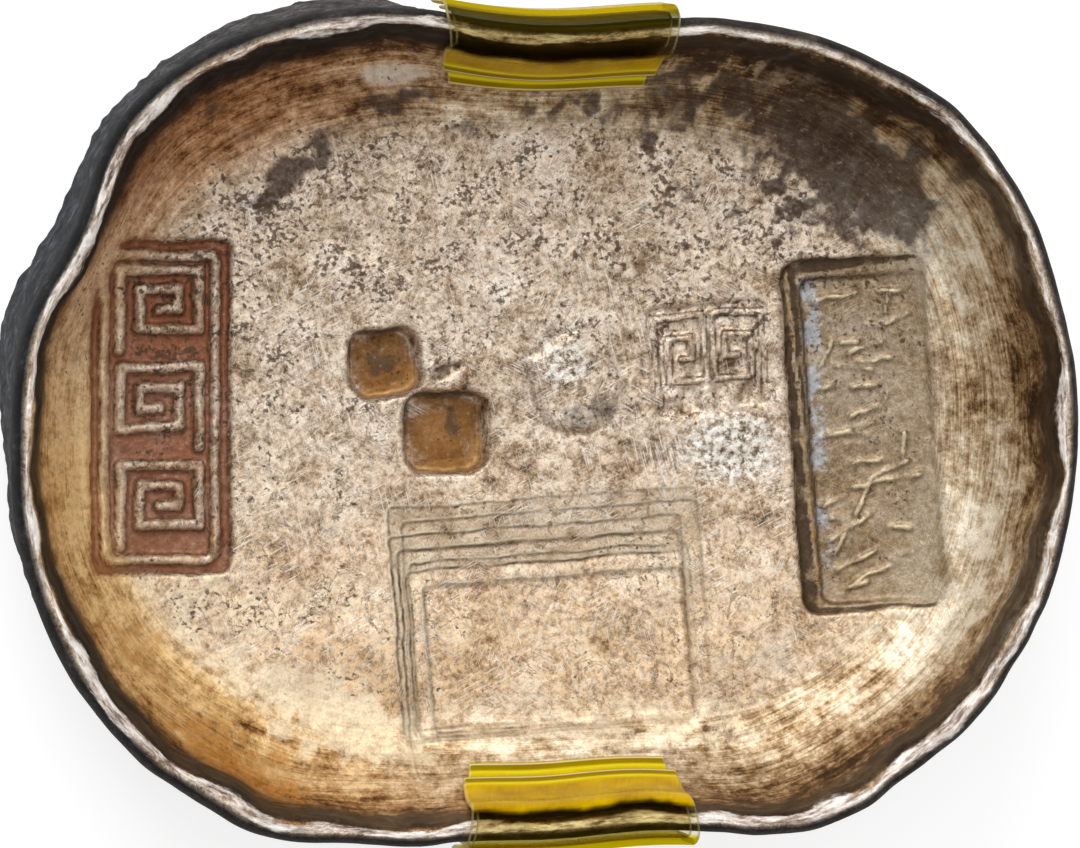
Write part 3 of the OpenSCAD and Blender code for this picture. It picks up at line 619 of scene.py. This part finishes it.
# The films and dirt, and painted light and shade (on the punches' walls, the sheen, the shade in the edges,
# the shadow on the steps and the shade under the lip), each with its colour, the noise that breaks its edge,
# how much, and its greatest cover
film = tone["outer_dirt_and_lip_shade"]
for name, code, breaker, ragged, cover in (
        ("cream", "#f8e6c6", mottle, 2.0, 0.6), ("pale", "#e6d7c6", mottle, 1.0, 0.84),
        ("gold", "#cd8f43", grit, 3.2, 0.7), ("rust", "#8a5434", mottle, 1.6, 0.7),
        ("plum", "#3d2a20", stain, 2.6, 0.87), ("olive", "#806a49", grit, 4.0, 0.65),
        ("ground", "#8b5032", mottle, 1.4, 0.8), ("leather", "#905f22", flake, 2.0, 0.94),
        ("punch_painted_light", "#bd9053", mottle, 1.2, 0.7), ("punch_painted_shade", "#35230f", mottle, 1.2, 0.7),
        ("bars", "#dccaa8", grit, 1.2, 0.85), ("smudge", "#43362b", mottle, 2.4, 0.7),
        ("painted_sheen", "#b4bdc8", grit, 3.4, 0.65), ("edge_dirt_and_shade", "#4b3520", crumb, 1.4, 0.72),
        ("step", "#3d2813", mottle, 1.8, 0.9), ("ridge", "#b8925a", crumb, 2.4, 0.75),
        ("under_lip_shade", "#2a1c13", fibre, 1.8, 0.85)):
    cover_fac = ragged_cover(add, tone[name], breaker, ragged, 0.3, 0.8, cover)
    colour = mix(add, cover_fac, colour, linear(code))
    if name in ("plum", "rust", "ground", "leather", "smudge", "edge_dirt_and_shade", "step", "under_lip_shade"):
        film = add("Math", {0: film, 1: cover_fac}, operation="MAXIMUM")
# Dirt in the pores: brown specks, closest where the floor is least handled
speck_level = add("Math", {0: flake, 1: 1.0, 2: pore}, **fused)
speck_level = add("Math", {0: tone["speckle"], 1: 0.25, 2: speck_level}, **fused)
speck = ranged(add, speck_level, 1.27, 1.37, end=0.85)
colour = mix(add, speck, colour, linear("#4d3826"))
# Each strike of the plain die has a painted shadow, a thin dark line inside its edge, and a painted
# highlight, a pale line outside it
line_break = ranged(add, mottle, 0.4, 0.54, 0.35, 1.0)
line_break = add("Math", {0: line_break, 1: tone["struck"]}, operation="MULTIPLY")
for k, faint in enumerate(strike_faints):
    gaps = add("Attribute", {}, "Vector", attribute_name=f"strikes_{k // 3}")
    gap = add("SeparateXYZ", {"Vector": gaps}, k % 3)
    line_most = add("Math", {0: line_break, 1: faint}, operation="MULTIPLY")
    for shift, half, code in ((-0.09, 0.1, "#efe0c6"), (0.05, 0.13, "#4f3a22")):
        off_line = add("Math", {0: gap, 1: shift}, operation="ADD")
        off_line = add("Math", {0: off_line}, operation="ABSOLUTE")
        line_fac = ranged(add, off_line, half, 0.02, end=line_most)
        colour = mix(add, line_fac, colour, linear(code))
# Grain on every film, from the pores under it
grain_level = ranged(add, grit, 0.38, 0.62, 0.78, 1.18)
colour = add("VectorMath", {0: colour, "Scale": grain_level}, operation="SCALE")
# The outer wall: tarnished brown, blue-grey on the left from a painted reflection of the sky, with rubbed
# flecks, darker by the lip
sky_reflection_colour = add("ValToRGB", {"Fac": mottle}, stops=(
    (0.4, "#101114"), (0.74, "#a9a9aa"), (0.5, "#2b2d32"), (0.59, "#54575c")))
brown_black = add("ValToRGB", {"Fac": mottle}, stops=(
    (0.4, "#1b1613"), (0.72, "#b8ada1"), (0.48, "#463b34"), (0.57, "#7a6d62")))
dirt_and_lip_shade_colour = mix(add, tone["painted_sky_reflection"], brown_black, sky_reflection_colour)
dirt_and_lip_shade_colour = mix(add, tone["lip_dark"], dirt_and_lip_shade_colour, linear("#8e8a88"), "MULTIPLY")
colour = mix(add, tone["outer_dirt_and_lip_shade"], colour, dirt_and_lip_shade_colour)
# The crest, polished by handling over its dark crumbs and carrying a painted highlight, and the crinkled
# patches, rubbed white on their folds
for name, breaker, ragged, low, cover, stops in (
        ("crest", ribbon, 1.7, 0.35, 0.95, (
            (0.36, "#463a32"), (0.58, "#fffaf4"), (0.43, "#9c8a7e"), (0.5, "#dccdc2"))),
        ("crinkle", grit, 1.4, 0.3, 0.9, (
            (0.4, "#57483a"), (0.58, "#fffdf8"), (0.46, "#b3a492"), (0.51, "#ebe1d3")))):
    cover_fac = ragged_cover(add, tone[name], breaker, ragged, low, 0.75, cover)
    bright = add("ValToRGB", {"Fac": breaker}, stops=stops)
    colour = mix(add, cover_fac, colour, bright)
metal = ranged(add, film, start=0.65, end=0.25)
rough = ranged(add, mottle, 0.3, 0.7, 0.36, 0.52)
rough = add("Math", {0: tone["outer_dirt_and_lip_shade"], 1: 0.3, 2: rough}, use_clamp=True, **fused)
# The fine relief, each layer with its strength and its depth in millimetres
crumbled = add("Math", {0: tone["crest"], 1: tone["crinkle"]}, operation="MAXIMUM")
crumbled = add("Math", {0: crumbled, 1: tone["olive"]}, operation="MAXIMUM")
streak_high, crumb_high, dirt_and_lip_shade_high = [
    add("Math", {0: layer, 1: share}, operation="MULTIPLY")
    for layer, share in ((wall_level, tone["wall"]), (crumb, crumbled), (mottle, tone["outer_dirt_and_lip_shade"]))]
relief = {}
for strength, depth, high in ((0.8, 0.06, floor_level), (0.4, 0.02, bright_scratch), (0.3, 0.03, streak_high),
                              (0.75, 0.1, crumb_high), (0.9, 0.25, dirt_and_lip_shade_high)):
    relief["Normal"] = add("Bump", {
        "Strength": strength, "Distance": depth * mm, "Height": high, **relief})
shader = add("BsdfPrincipled", {
    "Base Color": colour, "Metallic": metal, "Roughness": rough, "Specular IOR Level": 0.25, **relief})
add("OutputMaterial", {"Surface": shader})
casting.data.materials.append(silver)

# The clips
# Each is two bands of translucent amber plastic bent over the rim and pushed on: a narrow thin liner
# against the silver, whose lip reaches down the inner wall, and a thicker sleeve over it.
clip_tip_length = 12.2
sleeve_wall, liner_wall, layer_gap, clip_clearance = 0.4, 0.25, 0.04, 0.15
sleeve_reach, liner_reach, outer_leg, liner_leg_margin, liner_margin = 3.1, 4.2, 6.0, 0.5, 0.4


def clip_band(along, side, offset, wall, reach, leg, margin):
    """A bent band: a closed section of even thickness with round ends follows the leg, the lip's round and
    the inner wall, and is carried along the rim; its length draws in towards the inner tip. Returns the
    points, the faces, each point's inset from the lip's outer face, its way from the inner tip and whether it
    is on a cut end."""
    last_turn = math.acos(1 - (reach - wall / 2 - lip_thickness) / wall_run)
    leg_way = -np.linspace(leg - lip_crown - wall / 2, 0, 8, endpoint=False)
    lip_way = np.linspace(0, np.pi, 25)
    wall_way = np.pi + np.linspace(0, last_turn, 25)[1:]
    path = np.concatenate([leg_way, lip_way, wall_way])
    cap = np.linspace(0, np.pi, 7)[1:-1]
    # The section: near face from the leg in, round tip, far face back, round foot
    way = np.concatenate([
        path, path[-1] + wall / 2 * np.sin(cap) / 7, path[::-1], path[0] - wall / 2 * np.sin(cap)])
    layer = np.concatenate([np.full(len(path), -1.0), -np.cos(cap), np.full(len(path), 1.0), np.cos(cap)])
    # The last stretch of each half length is rounded off
    round_share = 0.03
    even_share = 1 - round_share
    round_off = round_share * (1 - np.cos(np.linspace(0, np.pi / 2, 6)[:-1]))
    stations = np.concatenate([round_off - 1, np.linspace(-even_share, even_share, 41), 1 - round_off[::-1]])
    thinning = np.sqrt(np.clip(1 - (np.clip(np.abs(stations) - even_share, 0, None) / 0.0301) ** 2, 0.02, 1))
    off = offset + wall / 2 + thinning[:, None] * layer * (wall / 2 - 0.003)
    on_leg, on_wall = way < 0, way > np.pi
    turn = np.where(on_wall, way - np.pi, np.clip(way, 0, np.pi))
    inset = np.where(on_wall, lip_thickness + wall_run * (1 - np.cos(turn)) + off * np.cos(turn),
                     lip_thickness / 2 - (lip_thickness / 2 + off) * np.cos(turn))
    z = np.where(on_wall, floor_edge_z + (lip_z - floor_edge_z) * (1 - np.sin(turn)) + off * np.sin(turn),
                 lip_z + (lip_crown + off) * np.sin(turn) + np.where(on_leg, way, 0))
    share = np.where(on_wall, np.cos(turn), 1)
    drawn = np.minimum(1, np.maximum(0, inset) / (liner_reach + clip_clearance + liner_wall))
    half = (clip_length + (clip_tip_length - clip_length) * drawn) / 2 - margin
    place_x = along + side * stations[:, None] * half
    place_y = (1 - (np.abs(place_x) / (half_length - inset)) ** oval_power) ** (1 / oval_power)
    place_y = (half_width - inset) * place_y
    angle = np.arctan2(side * place_y, place_x)
    radius = oval_radius(angle, inset) + share * dents(angle)
    z = z + end_rise * (z / rim_height) ** 3 * np.cos(angle) ** 2
    points = np.stack([radius * np.cos(angle), radius * np.sin(angle), z], -1)
    count, round_count = points.shape[:2]
    number = np.arange(count * round_count).reshape(count, round_count)
    ahead = np.roll(number, -1, axis=1)
    quads = np.stack([number[:-1], ahead[:-1], ahead[1:], number[1:]], -1).reshape(-1, 4)
    # Each end is closed by quads between the near and the far face
    n = len(path)
    opposite = n + len(cap) + np.arange(n)[::-1]
    ends = []
    for row, step in ((number[0], -1), (number[-1], 1)):
        strip = np.stack([row[: n - 1], row[1:n], row[opposite[1:]], row[opposite[:-1]]], -1)
        tip = row[n - 1 : n + len(cap) + 1]
        foot = np.append(row[2 * n + len(cap) - 1 :], row[0])
        ends += strip[:, ::step].tolist() + [tip[::step].tolist(), foot[::step].tolist()]
    from_tip = np.broadcast_to((path[-1] - way) * wall_run, inset.shape)
    at_end = np.broadcast_to((np.abs(stations) > 0.98)[:, None], inset.shape)
    return points.reshape(-1, 3), quads.tolist() + ends, inset.ravel(), from_tip.ravel(), at_end.ravel()


clip_pieces = []
for clip_name, along, side in (("rear", rear_clip_along, 1), ("front", front_clip_along, -1)):
    for layer_name, offset, wall_here, reach_here, leg, margin in (
            ("sleeve", clip_clearance + liner_wall + layer_gap, sleeve_wall, sleeve_reach, outer_leg, 0),
            ("liner", clip_clearance, liner_wall, liner_reach, outer_leg - liner_leg_margin, liner_margin)):
        band_points, band_faces, band_inset, band_tip, band_end = clip_band(
            along, side, offset, wall_here, reach_here, leg, margin)
        piece = put_in(f"{clip_name}_amber_{layer_name}", band_points, band_faces, f"{clip_name}_clip",
                       f"{clip_name}_clip_{layer_name}")
        bent = 0.1 * rumple(band_points[:, :1], 7, 61) + 0.03 * rumple(band_points[:, :1], 1.6, 62)
        hang = smooth(lip_z + 0.3, lip_z - 0.8, band_points[:, 2]) * smooth(0.3, 0, band_inset)
        dim = smooth(-0.66, -0.5, band_inset) * smooth(0.5, 0.1, band_inset)
        clip_tones = dict(
            milky=smooth(1.62, 1.98, band_inset + bent - 0.2 - 0.2 * side),
            leg=smooth(-0.1, -0.35, band_inset), hang=hang, dim=dim * (0.55 + 0.45 * side) * (1 - hang),
            from_tip=np.clip(band_tip / 2, 0, 1), cut_end=band_end)
        for name, values in clip_tones.items():
            add_tone(piece, name, values)
        clip_pieces.append((piece, layer_name))

# Amber PVC, calendered sheet: clear and dark over the lip, where it lies tight on the silver, yellow down the
# outer leg, and a full milky amber on the flap, with air behind it. Its cut edges are frosted pale, which
# also stands for a painted highlight, and beside the inner edge lie a dark line and a painted glint, a bright
# yellow line; rubbing has left fine diagonal scratches.
for layer_name, deep, pale_tint, roughness in (("sleeve", "#b88a00", "#e8c000", 0.12),
                                               ("liner", "#ba9400", "#ecd00a", 0.16)):
    amber, add = new_material(f"amber_plastic_{layer_name}")
    tone = {name: add("Attribute", {}, "Fac", attribute_name=name) for name in clip_tones}
    place = add("TexCoord", {}, "Object")
    cloud = add("TexNoise", {"Vector": place, "Scale": 1 / (3 * mm), "Detail": 4.0})
    # The scratches are drawn 0.1 mm wide, to show
    rub_way = add("Mapping", {
        "Vector": place, "Rotation": (0.0, 0.0, math.radians(-35)), "Scale": (0.1 * mm, 2.0 * mm, 2.0 * mm)},
        vector_type="TEXTURE")
    rub = add("TexNoise", {"Vector": rub_way, "Scale": 1.0, "Detail": 3.0})
    tint_level = add("Math", {0: rub, 1: 0.22, 2: cloud}, **fused)
    tint = add("ValToRGB", {"Fac": tint_level}, stops=((0.44, deep), (0.8, pale_tint)))
    # Along the inner edge: pale at the very edge, frosted and a painted highlight, then a dark line, then a
    # painted glint of bright yellow
    tip_tint = add("ValToRGB", {"Fac": tone["from_tip"]}, stops=(
        (0.0, "#c8ac08"), (0.55, "#dec40c"), (0.04, "#f7edc0"), (0.09, "#866e00"), (0.25, "#987e00"),
        (0.36, "#fff02e")))
    tip_level = add("Math", {0: cloud, 1: 0.6, 2: -0.3}, **fused)
    tip_level = add("Math", {0: tone["from_tip"], 1: tip_level}, operation="ADD")
    tip_fac = ranged(add, tip_level, 0.6, 0.35, end=0.85)
    tint = mix(add, tip_fac, tint, tip_tint)
    tint = mix(add, tone["milky"], linear("#4e3d02"), tint)
    # The cut ends are frosted pale, partly a painted highlight
    end_fac = add("Math", {0: tone["cut_end"], 1: 0.35}, operation="MULTIPLY")
    for fac, code in ((tone["dim"], "#2e2604"), (tone["hang"], "#c8a606"), (end_fac, "#f2e7a0")):
        tint = mix(add, fac, tint, linear(code))
    gloss = ranged(add, rub, 0.4, 0.7, roughness, roughness + 0.15)
    rub_bump = add("Bump", {"Strength": 0.15, "Distance": 0.01 * mm, "Height": rub})
    skin = add("BsdfPrincipled", {
        "Base Color": tint, "Roughness": gloss, "IOR": 1.53, "Specular IOR Level": 0.08,
        "Specular Tint": linear("#ffe23c"), "Normal": rub_bump})
    clear_tint = mix(add, tone["leg"], linear("#fffdf3"), linear("#ecdf1c"))
    clear_tint = mix(add, tone["milky"], clear_tint, linear("#d8b206"))
    window = add("BsdfTransparent", {"Color": clear_tint})
    # How much of the film is body and how much is clear
    body = ranged(add, tone["milky"], start=0.025, end=0.84)
    body = add("Math", {0: body, 1: end_fac}, operation="MAXIMUM")
    for name, share in (("dim", 0.5), ("hang", 0.38)):
        body = add("Math", {0: tone[name], 1: share, 2: body}, use_clamp=True, **fused)
    both = add("MixShader", {0: body, 1: window, 2: skin})
    add("OutputMaterial", {"Surface": both})
    for piece, piece_layer in clip_pieces:
        if piece_layer == layer_name:
            piece.data.materials.append(amber)

# The stage
# A plain white table under soft studio light: one wide softbox overhead and one from the rear.
# The table is a ring, open under the base and clear from below, so that the base can be seen and lit.
table_radius, table_drop, hole_half_x, hole_half_y, ring_cuts = 0.8, 0.02 * mm, 22 * mm, 15 * mm, 64
table_turn = np.linspace(0, 2 * np.pi, ring_cuts, endpoint=False)
table_way = np.stack([np.cos(table_turn), np.sin(table_turn)], -1)
table_points = np.concatenate([table_way * (hole_half_x, hole_half_y), table_way * table_radius])
table_points = np.append(table_points, np.full((2 * ring_cuts, 1), -table_drop), axis=1)
first = np.arange(ring_cuts)
following = np.roll(first, -1)
table_mesh = bpy.data.meshes.new("white_table")
table_mesh.from_pydata(table_points.tolist(), [],
                       np.stack([first, first + ring_cuts, following + ring_cuts, following], -1).tolist())
table = bpy.data.objects.new("white_table", table_mesh)
bpy.context.collection.objects.link(table)
# White card: part of its white is given off to what looks at it, so it stays white and keeps the shadow
card, add = new_material("white_card")
seen = 0.0
for ray in ("Is Camera Ray", "Is Glossy Ray", "Is Transmission Ray"):
    seen = add("Math", {0: seen, 1: add("LightPath", {}, ray)}, operation="MAXIMUM")
glow_level = add("Math", {0: seen, 1: 0.7}, operation="MULTIPLY")
glow = add("Emission", {"Color": linear("#ffffff"), "Strength": glow_level})
matte = add("BsdfDiffuse", {"Color": linear("#b4b4b4")})
both = add("AddShader", {0: glow, 1: matte})
from_below = add("NewGeometry", {}, "Backfacing")
one_way = add("MixShader", {0: from_below, 1: both, 2: add("BsdfTransparent", {})})
add("OutputMaterial", {"Surface": one_way})
table_mesh.materials.append(card)

world = bpy.data.worlds.new("studio")
bpy.context.scene.world = world
world.use_nodes = True
world.node_tree.nodes["Background"].inputs["Color"].default_value = linear("#ffffff")
world.node_tree.nodes["Background"].inputs["Strength"].default_value = 0.5


def aim(thing, place, target, top_way):
    """Puts a thing at a place, its -Z axis towards the target and its +Y axis near the top way."""
    back = np.subtract(place, target)
    back = back / np.linalg.norm(back)
    right = np.cross(top_way, back)
    right = right / np.linalg.norm(right)
    up = np.cross(back, right)
    thing.matrix_world = np.vstack([np.column_stack([right, up, back, place]), [0, 0, 0, 1]]).T.tolist()


for name, place, wide, deep, power in (("overhead_softbox", (0.05, 0.1, 0.9), 0.7, 0.7, 1.7),
                                       ("rear_softbox", (-0.2, 0.55, 0.45), 0.6, 0.3, 3.4)):
    lamp_data = bpy.data.lights.new(name, "AREA")
    lamp_data.shape = "RECTANGLE"
    lamp_data.size = wide
    lamp_data.size_y = deep
    lamp_data.energy = power
    lamp = bpy.data.objects.new(name, lamp_data)
    bpy.context.collection.objects.link(lamp)
    aim(lamp, place, (0, 0, 0.01), (0, 1, 0.001))

# The camera looks down from slightly left and rear of upright, far enough off for almost no perspective
image_width = 1080
pixel = 0.0577 * mm
camera_away = 1.2
lean_left, lean_rear = math.radians(8.5), math.radians(2.5)
target = np.array([0.0, 0.2, 13.3]) * mm
view_way = np.array([-math.sin(lean_left), math.sin(lean_rear), 1.0])
view_way = view_way / np.linalg.norm(view_way)
camera_data = bpy.data.cameras.new("camera")
camera_data.sensor_width = 36
camera_data.lens = camera_data.sensor_width * camera_away / (image_width * pixel)
camera_data.clip_end = 10
camera = bpy.data.objects.new("camera", camera_data)
bpy.context.collection.objects.link(camera)
aim(camera, target + view_way * camera_away, target, (0, 1, 0))
bpy.context.scene.camera = camera
bpy.context.scene.view_settings.view_transform = "Standard"
